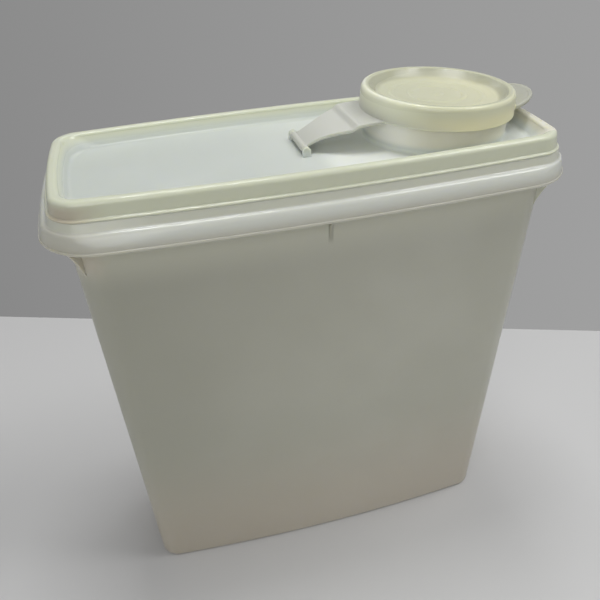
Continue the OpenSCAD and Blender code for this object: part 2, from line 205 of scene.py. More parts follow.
def loft(name, rings):
    """A closed solid through rings of equally many points, with a flat cap on the first and the last."""
    n = len(rings[0])
    faces = []
    for j in range(len(rings) - 1):
        a = j * n
        for i in range(n):
            k = (i + 1) % n
            faces.append((a + i, a + k, a + n + k, a + n + i))
    last = (len(rings) - 1) * n
    faces.append(tuple(range(n - 1, -1, -1)))
    faces.append(tuple(range(last, last + n)))
    return to_mesh(name, np.concatenate(rings), faces)


def lathe(name, profile, n, m):
    """A closed solid turned about Z, moved by m: its (radius, height) points start and end on the axis."""
    verts = [(0.0, 0.0, profile[0][1])]
    a = np.linspace(0, 2 * math.pi, n, endpoint=False)
    inner = profile[1:-1]
    for r, z in inner:
        verts += [(r * math.cos(t), r * math.sin(t), z) for t in a]
    verts.append((0.0, 0.0, profile[-1][1]))
    last = len(verts) - 1
    faces = []
    for i in range(n):
        k = (i + 1) % n
        faces.append((0, 1 + k, 1 + i))
        for j in range(len(inner) - 1):
            b = 1 + j * n
            faces.append((b + i, b + k, b + n + k, b + n + i))
        b = 1 + (len(inner) - 1) * n
        faces.append((b + i, b + k, last))
    return place(to_mesh(name, verts, faces), m)


def place(ob, m):
    """Moves the mesh itself by m, whose translation is in millimetres."""
    m = m.copy()
    m.translation = m.translation * MM
    ob.data.transform(m)
    ob.data.update()
    return ob


def prism(name, outline, thick, m, bevel, segments):
    """An upright slab: outline in its XZ plane, centred on Y, with rounded edges."""
    bm = bmesh.new()
    front = [bm.verts.new((x * MM, -thick / 2 * MM, z * MM)) for x, z in outline]
    new = bmesh.ops.extrude_face_region(bm, geom=[bm.faces.new(front)])
    back = [g for g in new["geom"] if isinstance(g, bmesh.types.BMVert)]
    bmesh.ops.translate(bm, verts=back, vec=(0, thick * MM, 0))
    bmesh.ops.recalc_face_normals(bm, faces=bm.faces)
    caps = [f for f in bm.faces if abs(f.normal.y) > 0.99]
    edges = list({e for f in caps for e in f.edges})
    bmesh.ops.bevel(bm, geom=edges, offset=bevel * MM, segments=segments, profile=0.5,
                    affect="EDGES", clamp_overlap=True)
    me = bpy.data.meshes.new(name)
    bm.to_mesh(me)
    bm.free()
    return place(link(name, me), m)


def apply_modifiers(ob):
    dg = bpy.context.evaluated_depsgraph_get()
    me = bpy.data.meshes.new_from_object(ob.evaluated_get(dg))
    ob.modifiers.clear()
    old = ob.data
    ob.data = me
    bpy.data.meshes.remove(old)


def boolean(ob, others, how):
    """Joins the others to ob or cuts them from it, and uses them up."""
    for other in others:
        mod = ob.modifiers.new("b", "BOOLEAN")
        mod.operation = how
        mod.solver = "EXACT"
        mod.object = other
        apply_modifiers(ob)
        bpy.data.objects.remove(other)
    return ob


def finish_mesh(ob):
    """Cleans the mesh, and shades it smooth between its sharp edges."""
    bm = bmesh.new()
    bm.from_mesh(ob.data)
    bmesh.ops.remove_doubles(bm, verts=bm.verts, dist=MERGE * MM)
    bmesh.ops.dissolve_degenerate(bm, edges=bm.edges, dist=MERGE * MM)
    bm.to_mesh(ob.data)
    bm.free()
    ob.data.shade_smooth()
    ob.data.set_sharp_from_angle(angle=math.radians(SHARP_ANGLE))
    mod = ob.modifiers.new("normals", "WEIGHTED_NORMAL")
    mod.keep_sharp = True
    mod.weight = NORMAL_WEIGHT
    apply_modifiers(ob)
    ob.data.name = ob.name
    return ob


# ---------------------------------------------------------- tub
def flange_at(t, e=0.0):
    """Offset and height on the flange's curve, t from 0 at its top to 90 at its lip, inset by e."""
    c, s = cos_sin(t)
    bulge = mix(t / 90.0, s, FLANGE_BELLY)
    return BAND_REACH + (FLANGE_REACH - BAND_REACH) * bulge - e * s, FLANGE_TOP - FLANGE_H * (1 - c) - e * c


def foot_and_wall():
    """Stations from the recessed floor over the foot band and up the outer wall."""
    inner = -BASE_EDGE - FOOT_W
    return [
        (tub(0, inner - 1.2, FOOT_RECESS), 0, 0),
        (tub(0, inner - 0.6, FOOT_RECESS), 0.3, 2),
        (tub(0, inner, 0.0), 0.3, 2),
        (tub(0, 0.0, 0.0), BASE_EDGE, 8),
        *[(tub(z), 0, 0) for z in (40, 90, 140, 190)],
        (tub(UNDER_Z - 0.4), 1.5, 4),
        (neck(UNDER_Z - 0.2, 1.6), 0.6, 2),
    ]


def flange():
    """Stations down the flange's inner face, round its lip, over its bead and up its outer face."""
    prof = []
    for t in (20, 35, 50, 64, 76):
        o, z = flange_at(t, FLANGE_T)
        prof.append((neck(z, o, LIP_EXTRA * cos_sin(t)[1]), 0, 0))
    r = FLANGE_T / 2
    for a in range(180, 361, 20):
        c, s = cos_sin(a)
        prof.append((neck(LIP_Z + r * (1 + s), FLANGE_REACH - r * (1 - c), LIP_EXTRA), 0, 0))
    prof.append((neck(LIP_Z + BEAD_H - 0.21, FLANGE_REACH - 0.06, LIP_EXTRA), 0, 0))
    prof.append((neck(LIP_Z + BEAD_H, FLANGE_REACH - BEAD + 0.04, LIP_EXTRA), 0, 0))
    for t in range(80, 15, -8):
        o, z = flange_at(t)
        s = cos_sin(t)[1]
        prof.append((neck(z, o - BEAD * s * s, LIP_EXTRA * s), 0, 0))
    return prof


def neck_and_inside():
    """Stations over the band, the ledge and the neck, then down the inner wall to the floor."""
    return [
        (neck(FLANGE_TOP, BAND_REACH - 0.1), 0.7, 4),
        (neck(FLANGE_TOP + 0.5, BAND_REACH - 0.55), 0.4, 3),
        (neck(LEDGE_Z, LEDGE_REACH + 0.25), 0.45, 4),
        (neck(LEDGE_Z, NECK_OUT + SKIRT_FLARE), 0.5, 3),
        (neck(NECK_TOP, NECK_OUT), NECK_ROUND, 5),
        (neck(NECK_TOP, NECK_IN), NECK_ROUND, 5),
        (neck(LEDGE_Z - 1, NECK_IN + 0.2), 1.5, 3),
        (tub(UNDER_Z - 3, -WALL), 2.0, 4),
        *[(tub(z, -WALL), 0, 0) for z in (150, 100, 50)],
        (tub(FLOOR_T, -WALL), FLOOR_ROUND, 8),
        (tub(FLOOR_T, -WALL - 8.0), 0, 0),
    ]


def make_tub():
    prof = foot_and_wall() + flange() + neck_and_inside()
    ob = loft("tub_shell", [ring(s) for s in rounded(prof)])
    return boolean(ob, side_webs() + corner_webs(), "UNION")


def web_outline(reach, drop, slope, hollow, tuck):
    """A gusset's outline: up its free edge from the wall to the lip, then back inside the flange."""
    foot, top = LIP_Z - drop, UNDER_Z + 0.3
    pts = [(-WALL / 2, foot)]
    for t in range(0, 91, 6):
        c, s = cos_sin(t)
        out = mix(0.1, reach, mix(t / 90, 1 - c, hollow))
        up = mix(foot, LIP_Z + 0.6, mix(t / 90, s, hollow))
        pts.append((out, up))
    return pts + [(reach - 0.3, LIP_Z + 2.4), (reach - tuck, top - 2.4), (reach - tuck - 0.3, top - 1.2),
                  (reach - tuck - 1.8, top), (slope * (top - foot) - WALL / 4, top)]


def turned(x, y, degrees):
    """Stands something at (x, y), facing along an angle from +X."""
    return Matrix.Translation((x, y, 0)) @ Matrix.Rotation(math.radians(degrees), 4, "Z")


def side_webs():
    """Gussets under the flange at the middle of each long side."""
    wall_y = tub(LIP_Z - WEB_DROP_SIDE)[1] + BOW_SIDE
    reach = NECK_HY + BOW_SIDE + FLANGE_REACH - FLANGE_T / 2 - wall_y
    slope = (BODY_D - BASE_D) / 2 / LIP_Z
    outline = web_outline(reach, WEB_DROP_SIDE, slope, 1.0, 0.9)
    return [prism("web", outline, WEB_T, turned(0, s * wall_y, 90 * s), WEB_ROUND, 2) for s in (1, -1)]


def corner_webs():
    """Gussets under the flange on the diagonal of each corner."""
    hx, hy, rf, _ = tub(LIP_Z - WEB_DROP_CORNER)
    h = cos_sin(45)[0]
    lip_r = NECK_R + FLANGE_REACH + LIP_EXTRA
    gx = NECK_HX + FLANGE_REACH - lip_r - (hx - rf) + (lip_r - FLANGE_T / 2) * h
    gy = NECK_HY + FLANGE_REACH - lip_r - (hy - rf) + (lip_r - FLANGE_T / 2) * h
    grow = (BODY_R - BASE_R) / LIP_Z
    slope = grow + ((BODY_L - BASE_L) / 2 / LIP_Z - grow + (BODY_D - BASE_D) / 2 / LIP_Z - grow) * h
    outline = web_outline((gx + gy) * h - rf, WEB_DROP_CORNER, slope, WEB_HOLLOW, 0.3)
    out = []
    for ax in (1, -1):
        for ay in (1, -1):
            m = turned(ax * (hx - rf + rf * h), ay * (hy - rf + rf * h), ay * (45 if ax > 0 else 135))
            out.append(prism("web", outline, WEB_T, m, WEB_ROUND, 2))
    return out


# ---------------------------------------------------------- seal
def spout_frame():
    return Matrix.Translation((SPOUT_X, 0, CAP_Z)) @ Matrix.Rotation(math.radians(LEAN), 4, "Y")


def on_circle(r, z):
    """Points of a circle about the leaning collar's axis, z above the cap's top."""
    m = spout_frame()
    turns = [2 * math.pi * i / COLLAR_SIDES for i in range(COLLAR_SIDES)]
    return [m @ Vector((r * math.cos(a), r * math.sin(a), z)) for a in turns]


def circle_at(z, r):
    """The leaning collar's outline grown to radius r, cut level at height z."""
    axis = spout_frame().to_3x3() @ Vector((0, 0, 1))
    return np.array([tuple(p + axis * ((z - p.z) / axis.z)) for p in on_circle(r, 0)])


def leaned(z, r):
    """The leaning collar's outline grown to radius r, cut square to its axis."""
    return np.array([tuple(p) for p in on_circle(r, z)])


def seal_profile():
    """Stations from under the panel, round the neck, up the skirt, over the crest and down to the panel."""
    skirt_foot = LEDGE_Z + SKIRT_GAP
    prof = [
        (neck(PANEL_UNDER, PANEL_EDGE - 3.0, PANEL_EXTRA), 0, 0),
        (neck(PANEL_UNDER, PANEL_EDGE + 0.6, PANEL_EXTRA * 0.95), 2.2, 5),
        (neck(NECK_TOP - 0.8, NECK_IN - SEAL_PLAY), 0.8, 3),
        (neck(NECK_TOP + ROOF_GAP, NECK_IN - SEAL_PLAY), 0.25, 2),
        (neck(NECK_TOP + ROOF_GAP, NECK_OUT + SEAL_PLAY), 0.25, 2),
        (neck(skirt_foot, NECK_OUT + SKIRT_FLARE + SEAL_PLAY + 0.05), 0.3, 3),
        (neck(skirt_foot, SKIRT_FLARE + SKIRT_LIP), 0.25, 3),
        (neck(skirt_foot + 0.7, SKIRT_FLARE + SKIRT_LIP - 0.05), 0.3, 4),
        (neck(skirt_foot + SKIRT_LIP_H, SKIRT_FLARE - 0.12), 0.25, 2),
    ]
    for t in np.linspace(0, 90, 11):
        c, s = cos_sin(t)
        prof.append((neck(CREST_Z - CREST_ROUND_Z * (1 - s), -CREST_ROUND_X * (1 - c)), 0, 0))
    for t in np.linspace(0, 90, 11):
        c, s = cos_sin(t)
        o = CREST_IN + CREST_INNER_X * (1 - s)
        prof.append((neck(CREST_Z - CREST_INNER_Z * (1 - c), o, PANEL_EXTRA * 0.25 * (1 - c)), 0, 0))
    return prof + [
        (neck(PANEL_Z + 1.55, PANEL_EDGE + 1.35, PANEL_EXTRA * 0.72), 0.8, 3),
        (neck(PANEL_Z, PANEL_EDGE + 0.15, PANEL_EXTRA * 0.97), 1.8, 7),
        (neck(PANEL_Z, PANEL_EDGE - 3.5, PANEL_EXTRA), 0, 0),
    ]


def make_collar():
    """The pouring collar, with a small round at its foot and a rounded top edge."""
    foot = COLLAR_OUT + COLLAR_FILLET + 0.4
    rings = [circle_at(PANEL_Z - 0.6, foot), circle_at(PANEL_Z - 0.03, foot)]
    for t in np.linspace(0, 90, 9):
        c, s = cos_sin(t)
        rings.append(circle_at(PANEL_Z + COLLAR_FILLET * (1 - c), COLLAR_OUT + COLLAR_FILLET * (1 - s)))
    rings.append(leaned(COLLAR_TOP - 8.0, COLLAR_OUT))
    for t in np.linspace(0, 90, 5):
        c, s = cos_sin(t)
        rings.append(leaned(COLLAR_TOP - COLLAR_EDGE * (1 - s), COLLAR_OUT - COLLAR_EDGE * (1 - c)))
    return loft("collar", rings)


def make_bore():
    """What is cut from the collar and the panel: the bore, with a small chamfer at the top."""
    over = 6
    prof = [(0, -SPOUT_H - over), (BORE, -SPOUT_H - over), (BORE, COLLAR_TOP - CHAMFER),
            (BORE + CHAMFER, COLLAR_TOP), (BORE + 2 * CHAMFER, over), (0, over)]
    return lathe("bore", prof, COLLAR_SIDES, spout_frame())


def make_ears():
    """The two hinge ears: round-topped slabs with a flared foot in the panel."""
    flare = [(-EAR_R - 0.5, -HINGE_H - 0.4), (-EAR_R - 0.5, -HINGE_H + 0.02),
             (-EAR_R - 0.12, -HINGE_H + 0.3), (-EAR_R, -HINGE_H + 0.9)]
    crown = []
    for a in range(0, 181, 9):
        c, s = cos_sin(a)
        crown.append((-EAR_R * c, EAR_R * s))
    outline = flare + crown + [(-x, z) for x, z in reversed(flare)]
    out = []
    for s in (1, -1):
        m = Matrix.Translation((HINGE_X, s * (EAR_SPAN - EAR_T) / 2, HINGE_Z))
        out.append(prism("ear", outline, EAR_T, m, EAR_ROUND, 4))
    return out


def on_hinge(y):
    """Lays a turned piece along the hinge's axis, centred at y."""
    return Matrix.Translation((HINGE_X, y, HINGE_Z)) @ Matrix.Rotation(math.pi / 2, 4, "X")


def make_sockets():
    """What is cut from the ears: a blind round socket in each, open towards the bar."""
    r = PIN_R + PIN_PLAY
    prof = [(0, -SOCKET_HALF), (r, -SOCKET_HALF), (r, SOCKET_HALF), (0, SOCKET_HALF)]
    reach = EAR_SPAN / 2 - PIN_END - SOCKET_HALF
    return [lathe("socket", prof, PIN_SIDES, on_hinge(s * reach)) for s in (1, -1)]


def make_seal():
    ob = loft("seal_moulding", [ring(s) for s in rounded(seal_profile())])
    ob = boolean(ob, [make_collar()] + make_ears(), "UNION")
    return boolean(ob, [make_bore()] + make_sockets(), "DIFFERENCE")


# ---------------------------------------------------------- flip cap
def dish_floor():
    """The dish's floor from its wall to the axis: two low rings and a small boss."""
    prof = []
    for centre in (DISH_R * 0.77, DISH_R * 0.46):
        for a in np.linspace(0, 180, 13):
            swell = 0.5 * (1 - math.cos(2 * math.radians(a)))
            prof.append((centre + RING_W / 2 * cos_sin(a)[0], -CAP_DISH + RING_H * swell))
    boss = DISH_R * 0.12
    prof.append((boss + 0.5, -CAP_DISH))
    for a in np.linspace(8, 82, 7):
        c, s = cos_sin(a)
        prof.append((boss * c, -CAP_DISH + RING_H * s ** 0.7))
    return prof + [(0, -CAP_DISH + RING_H)]


def cap_profile():
    """From the axis under the dish, round the plug, the skirt and the rim, and back over the dish."""
    under = -(CAP_DISH + CAP_T - 0.1)
    plug_top, plug_foot = BORE - CAP_PLAY + 0.05, BORE - 2.05
    lip_out = CAP_R + CAP_SWELL
    lip_in = lip_out - CAP_LIP
    plug, small, edge = 0.9, 0.35, 0.4
    crown_x, crown_z, brow_z = 1.6, 2.2, 1.3
    prof = [(0, under), (DISH_R, under)]
    prof += arc(plug_foot - plug, under + plug, plug, plug, -90, -25, 5)
    prof += [(plug_top, CAP_ROOF - edge)]
    prof += arc(plug_top + small, CAP_ROOF - small, small, small, 180, 90, 4)
    prof += arc(SKIRT_IN - small, CAP_ROOF - small, small, small, 90, 0, 4)
    prof += [(lip_in - 0.02, -CAP_SKIRT + 0.5)]
    prof += arc(lip_in + small, -CAP_SKIRT + small, small, small, 180, 270, 4)
    prof += arc(lip_out - edge, -CAP_SKIRT + edge, edge, edge, 270, 360, 5)
    prof += [(CAP_R + 0.03, -crown_z - 0.3)]
    prof += arc(CAP_R - crown_x, -crown_z, crown_x, crown_z, 4, 90, 14)
    prof += arc(DISH_R + 5.4, -brow_z, crown_x, brow_z, 100, 150, 7)
    prof += [(DISH_R + 1.35, -CAP_DISH + 1.15)]
    for t in np.linspace(0, 1, 7):
        prof.append((mix(DISH_R + 1.2, DISH_R - 1.4, t), -CAP_DISH + 0.95 * (1 - t) ** 2.2))
    return prof + dish_floor()


def make_bar():
    """The hinge bar with a pin at each end."""
    end = -BAR_HALF - PIN_L
    half = [(0, end), (PIN_R - CHAMFER, end), (PIN_R, end + CHAMFER),
            (PIN_R, -BAR_HALF), (BAR_R - CHAMFER, -BAR_HALF), (BAR_R, -BAR_HALF + CHAMFER)]
    return lathe("bar", half + [(r, -z) for r, z in reversed(half)], PIN_SIDES, on_hinge(0))


def skirt_bite():
    """What is cut from the tab and the strap, so that they end inside the skirt's wall."""
    r = CAP_R - 0.7
    return lathe("bite", [(0, -50), (r, -50), (r, 30), (0, 30)], CAP_SIDES, spout_frame())


def make_cap():
    cap = lathe("flip_cap_moulding", cap_profile(), CAP_SIDES, spout_frame())
    arms = [make_tab(), make_strap()]
    for arm in arms:
        boolean(arm, [skirt_bite()], "DIFFERENCE")
    return boolean(cap, arms + [make_bar()], "UNION")


def make_tab():
    """Thumb lobe: a thin disc with a rounded bead round its edge, tilted up from the skirt."""
    t = TAB_T / 2
    b = (TAB_T + TAB_BEAD) / 2
    half = [(0, t), (TAB_R - 2.4, t), (TAB_R - 1.7, t + 0.1), (TAB_R - 1.35, b - 0.05)]
    prof = [(r, -z) for r, z in half]
    prof += arc(TAB_R - b * 0.9, 0, b * 0.9, b, -70, 70, 11)
    prof += half[::-1]
    m = spout_frame() @ Matrix.Translation((CAP_R, 0, -0.73 * CAP_SKIRT))
    m = m @ Matrix.Rotation(math.radians(-TAB_TILT), 4, "Y") @ Matrix.Translation((-3, 0, 0))
    return lathe("tab", prof, TAB_SIDES, m)


def ease(t):
    t = max(0.0, min(1.0, t))
    return t * t * (3 - 2 * t)


def strap_half(d):
    """Half of the strap's width at a distance d from the hinge."""
    return mix(STRAP_W, STRAP_ROOT, ease((d - 2) / (STRAP_FLARE - 2))) / 2


def strap_top(d):
    """Height of the strap's top at a distance d from the hinge: an arch, then a step up to the skirt."""
    c, s = cos_sin(LEAN)
    end_x = SPOUT_X - CAP_R * c - CAP_SKIRT * s
    end_z = CAP_Z + CAP_R * s - CAP_SKIRT * c + STRAP_T * 0.4
    t = min(1.0, d / (end_x - HINGE_X))
    return (mix(HINGE_Z + BAR_R - 0.4, end_z - STRAP_STEP, t) + 4 * STRAP_ARCH * t * (1 - t)
            + STRAP_STEP * ease((d - STEP_START) / STEP_RUN))


def strap_section(d):
    """The strap's section at a distance d from the hinge: a slab with rounded edges."""
    e = STRAP_ROUND
    w = strap_half(d)
    slope = (strap_top(d + 0.05) - strap_top(d - 0.05)) / 0.1
    nx, nz = -slope / math.hypot(1, slope), 1 / math.hypot(1, slope)
    corners = ((w - e, -e, 90), (w - e, -STRAP_T + e, 0), (-w + e, -STRAP_T + e, -90), (-w + e, -e, 180))
    pts = []
    for y0, h0, a0 in corners:
        for q in (0, 22.5, 45, 67.5, 90):
            c, s = cos_sin(a0 - q)
            y, h = y0 + e * c, h0 + e * s
            pts.append((HINGE_X + d + nx * h, y, strap_top(d) + nz * h))
    return np.array(pts)


def make_strap():
    """The strap: a thin tongue that widens and steps up towards the cap."""
    places = np.concatenate([np.linspace(-0.6, 34, 74), np.linspace(34.5, STRAP_L + 9.0, 5)])
    # sections run clockwise seen along the strap, so the list goes from the cap back to the hinge
    return loft("strap", [strap_section(d) for d in places[::-1]])


# ---------------------------------------------------------- material nodes
def new_material(name):
    """An empty material, its node tree, and the node that takes its surface."""
    mat = bpy.data.materials.new(name)
    mat.use_nodes = True
    nt = mat.node_tree
    nt.nodes.clear()
    return mat, nt, nt.nodes.new("ShaderNodeOutputMaterial")


def principled(name):
    mat, nt, out = new_material(name)
    bsdf = nt.nodes.new("ShaderNodeBsdfPrincipled")
    nt.links.new(bsdf.outputs[0], out.inputs["Surface"])
    return mat, nt, bsdf


def object_space(nt):
    """The place in the object's own axes, which are the shared frame's at rest, in metres."""
    return nt.nodes.new("ShaderNodeTexCoord").outputs["Object"]


def axes(nt, co):
    sep = nt.nodes.new("ShaderNodeSeparateXYZ")
    nt.links.new(co, sep.inputs[0])
    return sep.outputs


def noise(nt, co, scale, detail=3.0, rough=0.5, stretch=None):
    n = nt.nodes.new("ShaderNodeTexNoise")
    n.inputs["Scale"].default_value = scale
    n.inputs["Detail"].default_value = detail
    n.inputs["Roughness"].default_value = rough
    if stretch:
        mapping = nt.nodes.new("ShaderNodeMapping")
        mapping.inputs["Scale"].default_value = stretch
        nt.links.new(co, mapping.inputs["Vector"])
        co = mapping.outputs[0]
    nt.links.new(co, n.inputs["Vector"])
    return n.outputs["Fac"]


def grey(v):
    return (v, v, v)


def ramp(nt, fac, stops):
    """An eased ramp between two (place, colour) stops."""
    r = nt.nodes.new("ShaderNodeValToRGB")
    r.color_ramp.interpolation = "EASE"
    for e, (p, c) in zip(r.color_ramp.elements, stops):
        e.position = p
        e.color = (*c, 1.0)
    nt.links.new(fac, r.inputs["Fac"])
    return r.outputs["Color"]


def blend(nt, a, b, fac):
    """Mixes two colours, each of which may be a socket or a plain colour."""
    m = nt.nodes.new("ShaderNodeMix")
    m.data_type = "RGBA"
    for s, v in zip([s for s in m.inputs if s.enabled], (fac, a, b)):
        if isinstance(v, bpy.types.NodeSocket):
            nt.links.new(v, s)
        else:
            s.default_value = (*v, 1.0)
    return [s for s in m.outputs if s.enabled][0]


def maths(nt, op, a, b=0.0):
    m = nt.nodes.new("ShaderNodeMath")
    m.operation = op
    for s, v in zip(m.inputs, (a, b)):
        if isinstance(v, bpy.types.NodeSocket):
            nt.links.new(v, s)
        else:
            s.default_value = v
    return m.outputs[0]


def fade(nt, value, lo, hi):
    """A mask from 0 at lo to 1 at hi, eased, both in millimetres."""
    m = nt.nodes.new("ShaderNodeMapRange")
    m.interpolation_type = "SMOOTHSTEP"
    m.inputs["From Min"].default_value = lo * MM
    m.inputs["From Max"].default_value = hi * MM
    nt.links.new(value, m.inputs["Value"])
    return m.outputs[0]


def both(nt, *masks):
    """Where all the masks hold; the last may be a plain amount."""
    out = masks[0]
    for mask in masks[1:]:
        out = maths(nt, "MULTIPLY", out, mask)
    return out


def either(nt, *masks):
    """Where any of the masks holds."""
    out = masks[0]
    for mask in masks[1:]:
        out = maths(nt, "MAXIMUM", out, mask)
    return out


def layered(nt, col, layers):
    """Lays (colour, mask) layers over a colour, the last on top."""
    for colour, mask in layers:
        col = blend(nt, col, colour, mask)
    return col


# ---------------------------------------------------------- materials
# roughness where the mould left a polish, and how far scuffs lower and raise it elsewhere
POLISHED, SCUFF_LESS, SCUFF_MORE = 0.12, 0.01, 0.035
# how far light goes into the plastic, in metres, and by red, green and blue
GLOW_DEPTH, GLOW_RADIUS = 0.0015, (1.0, 0.98, 0.80)
# noise scales per metre, how strong the specks get, and how the scuffs are drawn out
MOTTLE, SPECKS, SCUFFS, WAVES = 16.0, 70.0, 150.0, 24.0
SPECK_MOST = 0.22
SCUFF_STRETCH = (1.0, 0.22, 2.4)
WAVE_HEIGHT, WAVE_STRENGTH = 0.0010, 0.10


def plastic(name, base, light, stain, rough, tints_and_painted_light):
    """Natural polyethylene: milky, with faint mottling, hairline scuffs and uneven gloss.

    The last argument takes (nt, co, col) and returns the colour with the piece's own tints and its painted
    light and shade on it, and a 0-1 mask of polish."""
    mat, nt, b = principled(name)
    co = object_space(nt)
    col = ramp(nt, noise(nt, co, MOTTLE, 2.0), [(0.30, base), (0.72, light)])
    specks = ramp(nt, noise(nt, co, SPECKS, 4.0, 0.6), [(0.55, grey(0)), (0.85, grey(SPECK_MOST))])
    col, polish = tints_and_painted_light(nt, co, blend(nt, col, stain, specks))
    nt.links.new(col, b.inputs["Base Color"])
    scuffs = noise(nt, co, SCUFFS, 3.0, 0.5, SCUFF_STRETCH)
    wear = ramp(nt, scuffs, [(0.35, grey(rough - SCUFF_LESS)), (0.75, grey(rough + SCUFF_MORE))])
    nt.links.new(blend(nt, wear, grey(POLISHED), polish), b.inputs["Roughness"])
    wave = nt.nodes.new("ShaderNodeBump")
    wave.inputs["Strength"].default_value = WAVE_STRENGTH
    wave.inputs["Distance"].default_value = WAVE_HEIGHT
    nt.links.new(noise(nt, co, WAVES, 1.0), wave.inputs["Height"])
    nt.links.new(wave.outputs[0], b.inputs["Normal"])
    b.inputs["Subsurface Weight"].default_value = 1.0
    b.inputs["Subsurface Radius"].default_value = GLOW_RADIUS
    b.inputs["Subsurface Scale"].default_value = GLOW_DEPTH
    b.inputs["IOR"].default_value = 1.5
    return mat


def tub_tints_and_painted_light(nt, co, col):
    """Painted shade darker to the left, at the left front corner and along the webs; browner at the foot;
    painted light paler below the flange, in the flange and on the band; polished in the flange.
    """
    x, y, z = axes(nt, co)
    flange = fade(nt, z, LIP_Z - 1.9, LIP_Z + 0.1)
    flange_foot = both(nt, flange, fade(nt, z, FLANGE_TOP - 2.8, LIP_Z + 1.1))
    # painted shade on the flange at the left front corner
    left_front_shade = both(nt, flange, fade(nt, x, -80, -116), fade(nt, y, -12, -46))
    # painted shade under the flange at the left front corner, browner
    crook_shade = both(nt, fade(nt, z, 196, 206), fade(nt, z, LIP_Z, LIP_Z - 0.9),
                 fade(nt, x, -92, -102), fade(nt, y, -26, -36))
    # painted shade along the roots of the webs at mid length, as seen through the wall
    web = both(nt, fade(nt, z, 200, 204), fade(nt, z, LIP_Z, LIP_Z - 0.5),
               fade(nt, maths(nt, "ABSOLUTE", x), WEB_T / 2 + 0.8, WEB_T / 2))
    col = layered(nt, col, [
        # darker to the left as painted shade, browner towards the foot, and paler up to the flange as
        # painted light
        ((0.397, 0.397, 0.331), both(nt, fade(nt, x, 20, -105), 0.85)),
        ((0.554, 0.487, 0.403), both(nt, fade(nt, z, 100, 4), 0.60)),
        ((0.637, 0.637, 0.529), both(nt, fade(nt, z, 190, LIP_Z - 1.9), 0.70)),
        # the flange painted paler than the wall as painted light, darker towards its lip as painted shade,
        # and darker at the left front corner as painted shade
        ((0.656, 0.672, 0.623), flange),
        ((0.570, 0.564, 0.495), flange_foot),
        ((0.517, 0.499, 0.415), both(nt, left_front_shade, 0.65)),
        # the band, ledge and neck, painted lighter as painted light against the shade under the seal's skirt
        ((0.656, 0.667, 0.575), fade(nt, z, FLANGE_TOP, FLANGE_TOP + 0.6)),
        # below the flange, the brown of the shade at the left front corner as painted shade, and painted
        # shade of the webs at mid length as seen through the wall
        ((0.554, 0.506, 0.415), both(nt, crook_shade, 0.65)),
        ((0.373, 0.367, 0.295), both(nt, web, 0.80)),
    ])
    return col, flange


def seal_tints_and_painted_light(nt, co, col):
    """Yellowed, polished rim and skirt round a whiter satin panel, and a duller collar; painted light makes
    the panel paler to the right and round the collar's foot and the collar paler, painted shade darkens the
    long inner walls and the left front corner.
    """
    x, y, z = axes(nt, co)
    wide, long = maths(nt, "ABSOLUTE", y), maths(nt, "ABSOLUTE", x)
    rim = fade(nt, z, 230.2, NECK_TOP)
    skirt = either(nt, fade(nt, wide, 40, 42.5), fade(nt, long, 108.5, 110.5),
                   fade(nt, maths(nt, "ADD", wide, long), 142.5, 145))
    collar = both(nt, rim, fade(nt, wide, 36.5, 35), fade(nt, x, 20, 28))
    aged = maths(nt, "SUBTRACT", either(nt, rim, skirt), collar)
    # painted light: the panel round the collar's foot, where the strap and cap shade it, painted paler
    painted_light_bay = both(nt, fade(nt, x, 1, 12), fade(nt, x, 75, 45), fade(nt, z, 231.2, 230),
               fade(nt, y, -34, -27), fade(nt, y, 30, 15))
    # painted shade at the left front corner of the rim and skirt, browner
    corner = both(nt, fade(nt, x, -88, -112), fade(nt, y, -22, -46), fade(nt, z, 235, 231))
    col = layered(nt, col, [
        # painted light paler to the right, painted shade darker on the long sides' sloping inner walls, and
        # yellowed on the rim and skirt
        ((0.70, 0.735, 0.695), both(nt, fade(nt, x, -40, 30), 0.90)),
        ((0.61, 0.65, 0.59), fade(nt, wide, 34.5, 36.2)),
        ((0.69, 0.715, 0.565), both(nt, aged, 0.85)),
        # painted light in the panel's bay round the collar, the skirt's foot, and painted shade at the left
        # front corner, browner
        ((0.85, 0.89, 0.82), painted_light_bay),
        ((0.67, 0.69, 0.55), both(nt, skirt, fade(nt, z, 236.5, 231), 0.85)),
        ((0.47, 0.39, 0.31), both(nt, corner, 0.80)),
    ])
    # the collar's own tone, painted paler as painted light where the cap shades it, whitest on its left
    tint = blend(nt, (0.76, 0.74, 0.62), (0.94, 0.93, 0.85), fade(nt, x, 52, 36))
    return blend(nt, col, tint, both(nt, collar, 0.9)), aged


